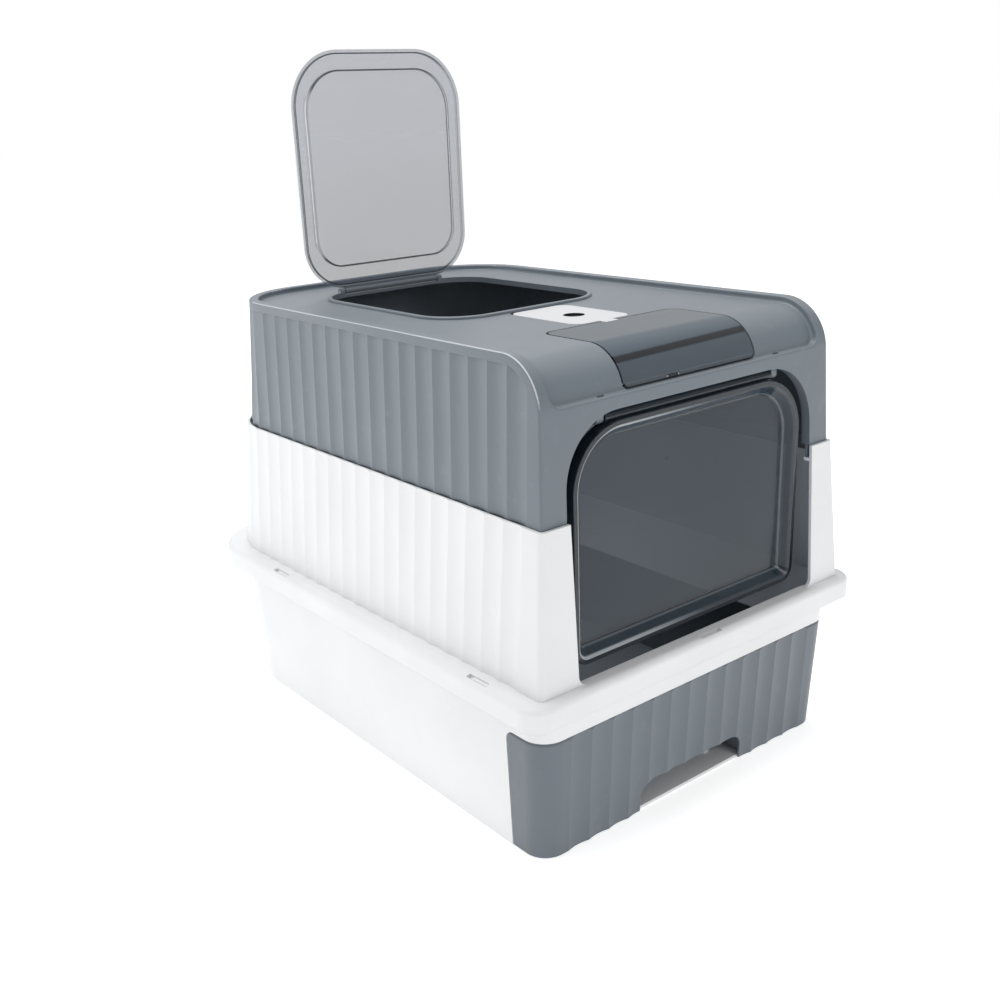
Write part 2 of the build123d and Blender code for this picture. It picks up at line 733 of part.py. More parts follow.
def make_top_cover():
    """Slate hood: fluted sides, rolled front, rim, sunken roof and openings."""
    flutes = fluted_core(cover_level(flute_land, ring_top - 2), cover_level(flute_land, height + 2))
    field = cover_side_view(rim_border, ring_top - 2, roll_radius - rim_border)
    field = field & block(-far, far, flute_start - 0.01, far, ring_top - 1, height - rim_border)
    field_cut = field - flutes
    hood = cover_body() - field_cut
    inner = tapered(cover_level(wall, ring_top - 1), cover_level(wall, height))
    inner = inner & cover_side_view(roof_drop + wall, ring_top - 3, skin_roll)
    hood = hood - inner
    skirt_low = ring_top - seat_drop
    skirt_high = ring_top + skirt_lap
    inner_step = skirt_step + skirt_thick
    skirt = slab(*cover_level(skirt_step, ring_top)[:5], skirt_low, skirt_high)
    skirt = skirt - slab(*cover_level(inner_step, ring_top)[:5], skirt_low - 1, skirt_high + 1)
    hood = hood + skirt
    bead = slab(hatch_half + bead_width, hatch_front - bead_width, hatch_rear + bead_width,
                hatch_radius + bead_width, hatch_radius + bead_width, roof_level - wall / 2,
                roof_level + bead_rise)
    bead = fillet(bead.faces().sort_by(Axis.Z)[-1].edges(), bead_width / 3)
    gap_half = leaf_half + 3 * fit_gap + hatch_lug_width
    bead = bead - block(-gap_half, gap_half, hatch_rear - 1, far, 0, far)
    hood = hood + bead + hatch_lugs() + latch_bed_box()
    hood = hood - slab(hatch_half, hatch_front, hatch_rear, hatch_radius, hatch_radius, ring_top + 50, far / 2)
    hood = hood - (flap_face(flap_gap) & roof_skin(roof_drop - 1, wall + 3))
    hood = hood - latch_room(fit_gap, latch_travel)
    slot_low = roof_level - latch_thick - latch_bed
    hood = hood - Pos(0, latch_hole_y, slot_low) * Cylinder(latch_hole_radius, 4 * latch_thick)
    hood = hood - block(-latch_key_half - latch_key_gap, latch_key_half + latch_key_gap,
                        latch_hole_y + latch_slot_half, latch_rear_y - latch_radius + latch_travel,
                        slot_low - 1, roof_level)
    arch_corners = [((arch_half, arch_top), arch_radius),
                    ((-arch_half, arch_top), arch_radius)]
    hood = hood - front_profile(arch_points(arch_top), arch_corners, -hem_reach, -hem_reach + 3 * roll_radius)
    hood = hood + door_lugs()
    pivot_y, pivot_z = flap_pivot()
    for side in (-1, 1):
        inner_x = flap_rear_half + flap_gap
        edges = sorted((side * inner_x, side * (inner_x + flap_boss_width)))
        hood = hood + bar(flap_barrel_radius, *edges, pivot_y, pivot_z)
    slot_front = cover_level(roof_drop, ledge_level)[1]
    for side in (-1, 1):
        edges = sorted((side * (door_bar_half + door_lug_gap),
                        side * (door_bar_half + door_lug_gap + core_slot_width)))
        hood = hood - block(*edges, slot_front - core_slot_depth, slot_front, ledge_level - wall,
                            ledge_level + 1)
    for sides in (-1, 1):
        reach = door_bar_half + door_lug_gap + door_lug_width + 1
        edges = sorted((0, sides * reach))
        hood = hood - bar(door_pin_radius + pin_press, *edges, door_pivot_y, door_pivot_level)
        edges = sorted((sides * (flap_rear_half - flap_pin_grip), sides * (flap_rear_half + flap_gap + flap_pin_grip - 2)))
        hood = hood - bar(flap_pin_radius + pin_press, *edges, pivot_y, pivot_z)
    reach = leaf_half + fit_gap * 2 + hatch_lug_width + 1
    return hood - bar(hatch_pin_radius + pin_press, -reach, reach, hatch_pivot_y, hatch_pivot_level)


def make_storage_tub():
    """Slate tub hung under the compartment flap."""
    half = flap_rear_half + flap_gap + tub_wall
    pivot_y, pivot_z = flap_pivot()
    front = pivot_y + flap_barrel_radius + 2 * fit_gap
    rear = flap_rear_y + flap_gap + tub_wall
    body = block(-half, half, front, rear, tub_floor_level, far / 4)
    hollow = block(-half + tub_wall, half - tub_wall, front + tub_wall, rear - tub_wall,
                   tub_floor_level + tub_wall, far / 4)
    flange = block(-half - tub_flange, half + tub_flange, front, rear, tub_floor_level + tub_wall, far / 4)
    under = cover_side_view(roof_drop + wall + tub_skin_gap, ring_top, skin_roll - tub_skin_gap)
    flange = flange & roof_skin(roof_drop + wall + tub_skin_gap, tub_wall)
    clear = block(-latch_half - 2 * latch_bed_border, latch_half + 2 * latch_bed_border,
                  flap_rear_y + flap_gap - fit_gap, far,
                  roof_level - latch_thick - latch_bed - fit_gap, far)
    return (body & under) + (flange - hollow) - hollow - clear


# Hatch lid

def lid_plate(inset_side, low, high, y1, y2, inset_round):
    """Flat upright plate with rounded corners, rounder at the tip."""
    half = lid_half - inset_side
    face = make_face(Polyline((-half, y1, low), (half, y1, low), (half, y1, high), (-half, y1, high), close=True))
    face = fillet(face.vertices().sort_by(Axis.Z)[-2:], lid_tip_radius - inset_round)
    face = fillet(face.vertices().sort_by(Axis.Z)[:2], lid_radius - inset_round)
    return extrude(face, y2 - y1, dir=(0, 1, 0))


def make_hatch_lid():
    """Clear lid, standing open on its pin."""
    front = hatch_pivot_y - lid_behind_pivot
    back = front + lid_thick
    plate = lid_plate(0, lid_foot_level, lid_tip_level, front, back, 0)
    plate = fillet(plate.faces().sort_by(Axis.Y)[-1].edges(), lid_thick / 4)
    contour = lid_plate(contour_inset, lid_foot_level + contour_foot_inset, lid_tip_level - contour_tip_inset,
                        front - contour_rise, front + lid_thick / 2, contour_inset)
    contour = fillet(contour.faces().sort_by(Axis.Y)[0].edges(), contour_rise * 0.6)
    ring_out = lid_plate(rim_line_inset, lid_foot_level + rim_line_inset, lid_tip_level - rim_line_inset,
                         front - 1, front + rim_line_depth, rim_line_inset)
    inset = rim_line_inset + rim_line_width
    ring_in = lid_plate(inset, lid_foot_level + inset, lid_tip_level - inset,
                        front - 2, front + 1, inset)
    leaf = block(-leaf_half, leaf_half, front, back, hatch_pivot_level, lid_foot_level + 4 * rim_line_inset)
    barrel = bar(hatch_barrel_radius, -leaf_half, leaf_half, hatch_pivot_y, hatch_pivot_level)
    lid = plate + contour - (ring_out - ring_in) + leaf + barrel
    return lid - bar(hatch_pin_radius + pin_fit, -leaf_half - 1, leaf_half + 1, hatch_pivot_y, hatch_pivot_level)


def make_hatch_hinge_pin():
    """Steel pin of the hatch lid."""
    reach = leaf_half + fit_gap * 2 + hatch_lug_width
    return bar(hatch_pin_radius, -reach, reach, hatch_pivot_y, hatch_pivot_level)


# Front door

def door_slab(inset, front, back):
    """Door outline, inset evenly, between two depths."""
    half = door_half - inset
    low = door_foot_level + inset
    high = door_plate_top - inset
    top_radius = door_top_radius - inset
    foot_radius = max(door_foot_radius - inset, wall)
    rounds = [((half, high), top_radius), ((-half, high), top_radius),
              ((half, low), foot_radius), ((-half, low), foot_radius)]
    points = [(-half, low), (half, low), (half, high), (-half, high)]
    return front_profile(points, rounds, front, back)


def door_outline_face(inset, y):
    """Face of the door outline at one depth."""
    return door_slab(inset, y, y + 1).faces().sort_by(Axis.Y)[0]


def make_front_door():
    """Smoked door: rim, set-back window with a bevelled surround, and hinge bar."""
    front = door_front_y
    back = door_front_y + door_depth
    pane_y = back - door_thick
    body = door_slab(0, front, back)
    hollow_mouth = door_outline_face(door_rim, front)
    hollow_floor = door_outline_face(door_rim + door_bevel, pane_y)
    hollow = loft([hollow_mouth, hollow_floor], ruled=True)
    behind = door_slab(door_thick, front + door_thick, back + 1)
    core_mouth = door_outline_face(door_rim - door_thick / 2, front)
    core_floor = door_outline_face(door_rim + door_bevel - door_thick / 2, back)
    core = loft([core_mouth, core_floor], ruled=True)
    pane_block = door_slab(door_rim + door_bevel - door_thick, pane_y, back)
    body = body - (behind - core - pane_block) - hollow
    body = fillet(body.faces().sort_by(Axis.Y)[0].outer_wire().edges(), door_thick / 3)
    stem = block(-door_bar_half, door_bar_half, door_pivot_y - door_barrel_radius * 0.75,
                 door_pivot_y + door_barrel_radius * 0.4, door_plate_top - door_rim, door_pivot_level)
    barrel = bar(door_barrel_radius, -door_bar_half, door_bar_half, door_pivot_y, door_pivot_level)
    nub = block(door_half - 1, door_half + door_nub_rise, front + door_thick, back - door_thick,
                door_foot_level + door_nub_gap, door_foot_level + door_nub_gap + door_nub_height)
    body = body + stem + barrel + nub
    inner = door_bar_half - door_pin_grip - 0.5
    for side in (-1, 1):
        edges = sorted((side * inner, side * (door_bar_half + 1)))
        body = body - bar(door_pin_radius + pin_fit, *edges, door_pivot_y, door_pivot_level)
    return body


def make_door_hinge_pins():
    """Two stub pins held in the cover's ears."""
    pins = Part()
    for side in (-1, 1):
        edges = sorted((side * (door_bar_half - door_pin_grip),
                        side * (door_bar_half + door_lug_gap + door_lug_width)))
        pins = pins + bar(door_pin_radius, *edges, door_pivot_y, door_pivot_level)
    return pins


# Compartment flap

def make_compartment_flap():
    """Smoked flap, bent to the roof and its roll, with a hinge barrel."""
    skin = roof_skin(roof_drop, flap_thick) & flap_face(0)
    pivot_y, pivot_z = flap_pivot()
    barrel_half = flap_rear_half - flap_barrel_inset
    barrel = bar(flap_barrel_radius, -barrel_half, barrel_half, pivot_y, pivot_z)
    flap = skin + barrel
    notch = block(-latch_nose_half - 2 * fit_gap, latch_nose_half + 2 * fit_gap,
                  latch_front_y - latch_nose_reach - 2 * fit_gap, far,
                  roof_level - far, roof_level + 1)
    flap = flap - notch
    for side in (-1, 1):
        edges = sorted((side * (flap_rear_half - flap_pin_grip - 0.5), side * (flap_rear_half + 1)))
        flap = flap - bar(flap_pin_radius + pin_fit, *edges, pivot_y, pivot_z)
    return flap


def make_flap_hinge_pins():
    """Two stub pins held in the cover beside the flap."""
    pivot_y, pivot_z = flap_pivot()
    pins = Part()
    for side in (-1, 1):
        edges = sorted((side * (flap_rear_half - flap_pin_grip),
                        side * (flap_rear_half + flap_gap + flap_pin_grip - 2)))
        pins = pins + bar(flap_pin_radius, *edges, pivot_y, pivot_z)
    return pins


# Flap latch

def make_flap_latch():
    """White catch plate with a finger hole and a nose over the flap's groove."""
    low = roof_level - latch_thick
    plate = slab(latch_half, latch_front_y, latch_rear_y, latch_radius, latch_radius, low, roof_level)
    nose = block(-latch_nose_half, latch_nose_half, latch_front_y - latch_nose_reach,
                 latch_front_y + latch_radius, roof_level - latch_nose_thick, roof_level)
    latch = plate + nose
    latch = latch - Pos(0, latch_hole_y, low) * Cylinder(latch_hole_radius, 4 * latch_thick)
    key_low = low - latch_bed - latch_thick
    key = block(-latch_key_half, latch_key_half, latch_hole_y + latch_slot_half + latch_key_gap,
                latch_rear_y - latch_radius - latch_key_gap, low - latch_bed - fit_gap, low + latch_thick / 2)
    foot = block(-latch_key_half - latch_thick, latch_key_half + latch_thick,
                 latch_hole_y + latch_slot_half + latch_key_gap, latch_rear_y - latch_radius - latch_key_gap,
                 key_low + fit_gap, low - latch_bed - fit_gap)
    return latch + key + foot


parts = {
    "base_shell": make_base_shell,
    "drawer_front": make_drawer_front,
    "litter_tray": make_litter_tray,
    "mid_shell": make_mid_shell,
    "top_cover": make_top_cover,
    "storage_tub": make_storage_tub,
    "hatch_lid": make_hatch_lid,
    "hatch_hinge_pin": make_hatch_hinge_pin,
    "front_door": make_front_door,
    "door_hinge_pins": make_door_hinge_pins,
    "compartment_flap": make_compartment_flap,
    "flap_hinge_pins": make_flap_hinge_pins,
    "flap_latch": make_flap_latch,
}

os.makedirs("parts", exist_ok=True)
for name, make in parts.items():
    part = make()
    export_step(part, f"parts/{name}.step")
    print(name, len(part.solids()), round(part.volume / 1000, 1), "cm3")
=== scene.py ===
import bmesh
import bpy
import math
from mathutils import Matrix, Vector

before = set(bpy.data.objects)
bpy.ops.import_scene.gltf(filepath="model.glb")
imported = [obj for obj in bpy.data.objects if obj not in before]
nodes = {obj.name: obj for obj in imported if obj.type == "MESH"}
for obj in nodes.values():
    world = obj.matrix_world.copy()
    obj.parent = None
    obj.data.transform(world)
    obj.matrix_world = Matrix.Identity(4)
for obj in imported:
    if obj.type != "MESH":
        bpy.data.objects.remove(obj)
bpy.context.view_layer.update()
print("frame loaded:", len(nodes), "CAD nodes")


class Wire:  # a shader socket that takes part in ordinary Python expressions
    def __init__(self, shader, socket):
        self.shader = shader
        self.socket = socket

    def combine(self, operation, first, second):
        return self.shader.node("ShaderNodeMath", {"operation": operation}, {0: first, 1: second})

    def __add__(self, other):
        return self.combine("ADD", self, other)

    def __sub__(self, other):
        return self.combine("SUBTRACT", self, other)

    def __rsub__(self, other):
        return self.combine("SUBTRACT", other, self)

    def __mul__(self, other):
        return self.combine("MULTIPLY", self, other)

    def __pow__(self, other):
        return self.combine("POWER", self, other)

    def __abs__(self):
        return self.combine("ABSOLUTE", self, 0.0)

    def atLeast(self, other):
        return self.combine("MAXIMUM", self, other)

    def atMost(self, other):
        return self.combine("MINIMUM", self, other)


class Shader:  # one material, with a single method that makes every node
    def __init__(self, name):
        self.material = bpy.data.materials.new(name)
        self.material.use_nodes = True
        self.tree = self.material.node_tree
        self.surface = self.tree.nodes["Principled BSDF"]

    def node(self, kind, settings, sockets, out=0):
        made = self.tree.nodes.new(kind)
        for key, value in settings.items():
            setattr(made, key, value)
        for key, value in sockets.items():
            self.feed(made.inputs[key], value)
        return Wire(self, made.outputs[out])

    def feed(self, target, value):
        if isinstance(value, Wire):
            self.tree.links.new(value.socket, target)
        else:
            target.default_value = value

    def set(self, **values):
        for key, value in values.items():
            self.feed(self.surface.inputs[key.replace("_", " ")], value)


def colour(red, green, blue):
    return (red, green, blue, 1.0)


def blend(shader, share, first, second):
    return shader.node("ShaderNodeMix", {"data_type": "RGBA"}, {0: share, 6: first, 7: second}, out=2)


def coordinate(shader, kind):  # "Object" is the place in the shared frame, "Normal" where the face looks
    return shader.node("ShaderNodeTexCoord", {}, {}, out=kind)


def stretched(shader, place, scales):
    return shader.node("ShaderNodeMapping", {}, {"Vector": place, "Scale": scales})


def noise(shader, place, scale, detail=2.0, rough=0.5):
    sockets = {"Vector": place, "Scale": scale, "Detail": detail, "Roughness": rough}
    return shader.node("ShaderNodeTexNoise", {}, sockets)


def spread(shader, value, low, high):  # 0 at low, 1 at high, smooth in between
    return shader.node("ShaderNodeMapRange", {"interpolation_type": "SMOOTHSTEP"},
                       {0: value, 1: low, 2: high})


def line(shader, distance, at, width, core=0.35):  # a soft line where the distance has this value
    return spread(shader, abs(distance - at), width, width * core)


def apart(shader, vector, axes=(0, 1, 2)):  # its across, along and up parts, one wire each
    split = shader.tree.nodes.new("ShaderNodeSeparateXYZ")
    shader.feed(split.inputs[0], vector)
    return [Wire(shader, split.outputs[axis]) for axis in axes]


def roundedEdge(across, up, half, low, high, radius):  # metres outside a rounded rectangle
    middle = (low + high) / 2
    beside = abs(across) - (half - radius)
    above = abs(up - middle) - ((high - low) / 2 - radius)
    corner = (beside.atLeast(0.0) ** 2.0 + above.atLeast(0.0) ** 2.0) ** 0.5
    return corner + beside.atLeast(above).atMost(0.0) - radius


def outlineOf(shader, across, up, plan, change=0.001):  # with its own radius at the top and at the foot
    middle = (plan["low"] + plan["high"]) / 2
    upper = spread(shader, up, middle - change, middle + change)
    radius = upper * (plan["topRadius"] - plan["footRadius"]) + plan["footRadius"]
    return roundedEdge(across, up, plan["half"], plan["low"], plan["high"], radius)


def extent(name):  # sides of a node's own box, in metres in the shared frame
    across, along, up = zip(*nodes[name].bound_box)
    return {"left": min(across), "right": max(across), "front": min(along), "foot": min(up), "top": max(up)}


satinPlastic = {
    "ior": 1.49,
    "grain": (2600.0, 2.0, 0.5),     # moulded spark grain: cells to the metre, detail, roughness
    "grainDepth": 0.000014,
    "swirl": (9.0, 3.0, 0.55),       # slow flow marks across a panel
    "swirlRange": (0.3, 0.7),
    "swirlTone": 0.955,              # times the body's tone
    "swirlDepth": 0.6,               # times the grain's depth
    "dust": (55.0, 5.0, 0.65),
    "dustRange": (0.56, 0.74),
    "dustShare": 0.12,
    "scuffStretch": (90.0, 90.0, 9.0),
    "scuff": (6.0, 6.0, 0.7),
    "scuffRange": (0.62, 0.78),
    "scuffShare": 0.10,
    "edgeRadius": 0.0007,
    "edgeSamples": 4,
    "edgeRange": (0.995, 0.86),      # cosine between the rounded and the flat normal
    # painted highlight: share of the lighter tone on rounded edges
    "edgeHighlightShare": 0.42,
    "facingUp": (0.45, 0.97),        # how far up a face looks where the painted top light falls
    "topLightParts": (0.35, 0.82),     # painted top light: its patchy and its even part
    "roughBySwirl": 0.10,
    "roughByScuff": 0.08,
    "roughByEdge": -0.06,
}


def makeSatin(name, look, trim=None, common=satinPlastic):
    shader = Shader(name)
    place = coordinate(shader, "Object")
    swirl = noise(shader, place, *common["swirl"])
    dust = noise(shader, place, *common["dust"])
    grain = noise(shader, place, *common["grain"])
    scuff = noise(shader, stretched(shader, place, common["scuffStretch"]), *common["scuff"])
    scuff = spread(shader, scuff, *common["scuffRange"])
    soft = shader.node("ShaderNodeBevel", {"samples": common["edgeSamples"]},
                       {"Radius": common["edgeRadius"]})
    flat = shader.node("ShaderNodeNewGeometry", {}, {}, out="Normal")
    bent = shader.node("ShaderNodeVectorMath", {"operation": "DOT_PRODUCT"}, {0: soft, 1: flat}, out="Value")
    edge = spread(shader, bent, *common["edgeRange"])
    flow = colour(*(part * common["swirlTone"] for part in look["body"][:3]))
    tone = blend(shader, spread(shader, swirl, *common["swirlRange"]), look["body"], flow)
    tone = blend(shader, spread(shader, dust, *common["dustRange"]) * common["dustShare"], tone, look["wornAndLit"])
    tone = blend(shader, scuff * common["scuffShare"], tone, look["wornAndLit"])
    # painted highlight: rounded edges blend towards the lighter worn and lit tone
    tone = blend(shader, edge * common["edgeHighlightShare"], tone, look["wornAndLit"])
    # painted top light: up-facing faces lightened as if lit from above, patchy with the dust noise
    patchy, even = common["topLightParts"]
    upward = spread(shader, apart(shader, flat)[2], *common["facingUp"])
    tone = blend(shader, upward * (dust * patchy + even) * look["topLight"], tone, look["wornAndLit"])
    if trim:
        tone = trim(shader, place, tone)
    height = grain + swirl * common["swirlDepth"]
    bumpy = shader.node("ShaderNodeBump", {}, {
        "Strength": 1.0, "Distance": common["grainDepth"], "Height": height, "Normal": soft})
    rough = (swirl - 0.5) * common["roughBySwirl"] + look["rough"]
    rough = rough + scuff * common["roughByScuff"] + edge * common["roughByEdge"]
    shader.set(Base_Color=tone, Normal=bumpy, Roughness=rough, IOR=common["ior"])
    return shader.material


clearPlastic = {
    "ior": 1.50,
    "flowShape": (2.0, 0.45),        # detail and roughness of the flow marks
    "flowStrength": 0.6,
    "smearStretch": (8.0, 8.0, 30.0),
    "smear": (4.0, 5.0, 0.6),
    "smearRange": (0.42, 0.72),
    "smearShare": 0.35,
    "roughRange": (0.35, 0.75),
    "roughBySmear": 0.10,
    "facing": 0.22,                  # how soon the plastic turns opaque towards its edges
    "coatRough": 0.03,
}


def makeClear(name, look, trim, common=clearPlastic):
    shader = Shader(name)
    place = coordinate(shader, "Object")
    flow = noise(shader, place, look["flowScale"], *common["flowShape"])
    smear = noise(shader, stretched(shader, place, common["smearStretch"]), *common["smear"])
    facing = shader.node("ShaderNodeLayerWeight", {}, {"Blend": common["facing"]}, out="Facing")
    veil = spread(shader, smear, *common["smearRange"]) * common["smearShare"]
    bumpy = shader.node("ShaderNodeBump", {}, {
        "Strength": common["flowStrength"], "Distance": look["flowDepth"], "Height": flow})
    cover = facing * (look["edgeAlpha"] - look["alpha"]) + look["alpha"]
    tone, cover = trim(shader, place, blend(shader, veil, look["body"], look["veil"]), cover)
    rough = spread(shader, smear, *common["roughRange"]) * common["roughBySmear"] + look["rough"]
    shader.set(Base_Color=tone, Normal=bumpy, Roughness=rough, Alpha=cover, IOR=common["ior"],
               Coat_Weight=look["coat"], Coat_Roughness=common["coatRough"])
    return shader.material


lidBox = extent("hatch_lid")
lidTall = 0.1975                     # from the foot line of the pane to its tip
lid = {  # heights are above the foot line of the pane
    "body": colour(0.243, 0.272, 0.332),
    "veil": colour(0.290, 0.320, 0.380),
    "alpha": 0.38,
    "edgeAlpha": 0.62,
    "rough": 0.12,
    "coat": 0.25,
    "flowScale": 9.0,
    "flowDepth": 0.0005,
    "foot": lidBox["top"] - lidTall,
    "pane": {"half": lidBox["right"], "low": 0.0, "high": lidTall, "topRadius": 0.048, "footRadius": 0.038},
    "field": {"half": lidBox["right"] - 0.0135, "low": 0.019, "high": 0.181, "topRadius": 0.0345,
              "footRadius": 0.0245},
    "groove": (-0.0030, 0.0007),     # painted shade line: place from the pane's edge, half width
    "grooveFaint": 0.6,              # share that it loses on the right side
    "rightSide": (0.06, 0.08),
    "contour": (0.0, 0.0009),        # painted shade line round the sunken field
    "contourFaint": 0.65,            # share that it loses on the left side
    "leftSide": (-0.066, -0.0715),
    "lineTone": colour(0.045, 0.052, 0.060),
    "lineCover": 0.85,
    "shine": (0.0016, 0.0008),       # beside the contour on the left
    "shineSpan": (0.034, 0.044, 0.154, 0.164),
    "shineTone": colour(0.92, 0.94, 0.97),
    "shineCover": 0.8,
    "leaf": (0.0012, 0.0009),        # under this the hinge leaf is solid slate
    "leafTone": colour(0.150, 0.176, 0.202),
    "fade": (0.144, 0.054),          # the lower half is seen against the darker side of the studio
    "fadeShare": 0.5,
    "fadeTone": colour(0.150, 0.172, 0.215),
}


def lidTrim(shader, place, tone, cover, marks=lid):
    across, up = apart(shader, place, (0, 2))
    up = up - marks["foot"]
    rim = outlineOf(shader, across, up, marks["pane"])
    field = outlineOf(shader, across, up, marks["field"])
    rightSide = spread(shader, across, *marks["rightSide"])
    leftSide = spread(shader, across, *marks["leftSide"])
    # painted shade: dark lines along the groove and the sunken field's contour, where the clear plastic bends
    # light away
    groove = line(shader, rim, *marks["groove"]) * (1.0 - rightSide * marks["grooveFaint"])
    contour = line(shader, field, *marks["contour"]) * (1.0 - leftSide * marks["contourFaint"])
    dark = (groove + contour).atMost(1.0)
    bottom, rising, falling, top = marks["shineSpan"]
    shine = line(shader, field, *marks["shine"]) * leftSide
    shine = shine * spread(shader, up, bottom, rising) * spread(shader, up, top, falling)
    leaf = spread(shader, up, *marks["leaf"])
    fade = spread(shader, up, *marks["fade"]) * marks["fadeShare"]
    tone = blend(shader, fade, tone, marks["fadeTone"])
    tone = blend(shader, dark, tone, marks["lineTone"])
    tone = blend(shader, shine, tone, marks["shineTone"])
    tone = blend(shader, leaf, tone, marks["leafTone"])
    solid = (dark * marks["lineCover"] + shine * marks["shineCover"] + leaf).atMost(1.0)
    return tone, cover + (1.0 - cover) * solid


doorBox = extent("front_door")
door = {  # heights are above the door's foot, other places from its outline, negative inside it
    "body": colour(0.015, 0.031, 0.048),
    "veil": colour(0.024, 0.042, 0.062),
    "alpha": 0.56,
    "edgeAlpha": 0.86,
    "rough": 0.08,
    "coat": 0.05,
    "flowScale": 14.0,
    "flowDepth": 0.0003,
    "foot": doorBox["foot"],
    "panel": {"half": -doorBox["left"], "low": 0.0, "high": 0.1685, "topRadius": 0.045, "footRadius": 0.012},
    "rim": (-0.0046, -0.0038),       # the solid rim starts here
    "rimTone": colour(0.012, 0.021, 0.030),
    "rimCover": 0.4,
    "surround": (-0.0126, -0.0118),  # the bevelled surround meets the pane here
    "surroundCover": 0.35,
    "rimLine": (-0.0028, 0.0010),    # painted shade line: place, half width
    "paneLine": (-0.0122, 0.0008),
    "lineTone": colour(0.010, 0.012, 0.015),
    "lineCover": 0.5,
    "rimShine": (-0.0046, 0.0015),
    "litSide": (0.03, -0.07),        # the left half of the rim catches the light
    "unlitShare": 0.12,
    "paneShine": (-0.0108, 0.0010),
    "paneShare": 0.25,
    "shineTone": colour(0.40, 0.43, 0.46),
    "shineCover": 0.5,
    "gate": (-0.0193, 0.1278),       # round moulding mark: across, up
    "gateRadius": (0.0014, 0.00084),
    "gateShare": 0.8,
    "gateCover": 0.7,
    "mostCover": 0.95,
}


def doorTrim(shader, place, tone, cover, marks=door):
    across, up = apart(shader, place, (0, 2))
    up = up - marks["foot"]
    edge = outlineOf(shader, across, up, marks["panel"])
    rim = spread(shader, edge, *marks["rim"])
    surround = spread(shader, edge, *marks["surround"])
    # painted shade: dark lines at the rim's inner edge and where the pane meets the bevel
    dark = (line(shader, edge, *marks["rimLine"]) + line(shader, edge, *marks["paneLine"])).atMost(1.0)
    lit = spread(shader, across, *marks["litSide"]) * (1.0 - marks["unlitShare"]) + marks["unlitShare"]
    shine = line(shader, edge, *marks["rimShine"]) * lit
    shine = shine + line(shader, edge, *marks["paneShine"]) * marks["paneShare"]
    gateAcross, gateUp = marks["gate"]
    gate = ((across - gateAcross) ** 2.0 + (up - gateUp) ** 2.0) ** 0.5
    gate = spread(shader, gate, *marks["gateRadius"])
    tone = blend(shader, rim, tone, marks["rimTone"])
    tone = blend(shader, shine.atMost(1.0), tone, marks["shineTone"])
    tone = blend(shader, (dark + gate * marks["gateShare"]).atMost(1.0), tone, marks["lineTone"])
    solid = surround * marks["surroundCover"] + rim * marks["rimCover"] + dark * marks["lineCover"]
    solid = (solid + shine * marks["shineCover"] + gate * marks["gateCover"]).atMost(marks["mostCover"])
    return tone, cover + (1.0 - cover) * solid


flap = {  # depths are under the flap's flat top
    "body": colour(0.066, 0.086, 0.107),
    "veil": colour(0.076, 0.097, 0.119),
    "alpha": 0.90,
    "edgeAlpha": 0.97,
    "rough": 0.10,
    "coat": 0.5,
    "flowScale": 20.0,
    "flowDepth": 0.0002,
    "top": extent("compartment_flap")["top"],
    "flat": (0.0015, 0.0001),
    "flatTone": colour(0.070, 0.104, 0.139),
    "bend": (0.0105, 0.0020),
    "bendTone": colour(0.098, 0.128, 0.160),
    "band": 0.0088,                  # painted reflection: dark band round the bend
    "bandSlope": 0.014,
    "bandWidth": (0.0026, 0.0012),
    "bandTone": colour(0.004, 0.007, 0.011),
    "bandShare": 0.95,
    "catch": {"half": 0.0062, "low": 0.0247, "high": 0.0280, "radius": 0.001},  # painted shade standing in for the small finger catch by the foot
    "catchAcross": -0.0190,
    "catchEdge": (0.0003, -0.0003),
    "catchShare": 0.85,
    "glintAcross": (0.0055, 0.0007),  # on both sides of the catch: place, half width
    "glintDown": (0.0261, 0.0007),
    "glintTone": colour(0.62, 0.66, 0.70),
}


def flapTrim(shader, place, tone, cover, marks=flap):
    across, up = apart(shader, place, (0, 2))
    down = marks["top"] - up
    # painted reflection: lighter flat top and bend, and a dark band round the bend
    flat = spread(shader, down, *marks["flat"])
    bend = spread(shader, down, *marks["bend"])
    band = spread(shader, abs(down + across * marks["bandSlope"] - marks["band"]), *marks["bandWidth"])
    # painted shade and painted glints mark the small finger catch
    beside = across - marks["catchAcross"]
    catch = spread(shader, roundedEdge(beside, down, **marks["catch"]), *marks["catchEdge"])
    glints = line(shader, abs(beside), *marks["glintAcross"]) * line(shader, down, *marks["glintDown"])
    tone = blend(shader, bend, tone, marks["bendTone"])
    tone = blend(shader, flat, tone, marks["flatTone"])
    tone = blend(shader, band * marks["bandShare"], tone, marks["bandTone"])
    tone = blend(shader, catch * marks["catchShare"], tone, marks["bandTone"])
    return blend(shader, glints, tone, marks["glintTone"]), cover


ringInsideShade = {
    "lean": (-0.005, -0.03),         # how far a face looks inwards, times its distance from the middle
    "tone": colour(0.74, 0.79, 0.84),
}


def ringTrim(shader, place, tone, marks=ringInsideShade):  # painted shade: inward faces turn darker and bluer, as if lit by light bounced off the slate around them
    across, along = apart(shader, place, (0, 1))
    acrossFace, alongFace = apart(shader, coordinate(shader, "Normal"), (0, 1))
    inward = spread(shader, across * acrossFace + along * alongFace, *marks["lean"])
    return blend(shader, inward, tone, marks["tone"])


roofRim = {
    "outer": (0.1405, 0.1425),       # the rim's outer round starts here, on both sides
    "rising": (0.03, 0.07),          # how far a face looks sideways, times its distance from the middle
    "falling": (0.128, 0.118),
    "upward": (0.10, 0.35),
    "tone": colour(0.62, 0.65, 0.69),
    "share": 0.8,
}


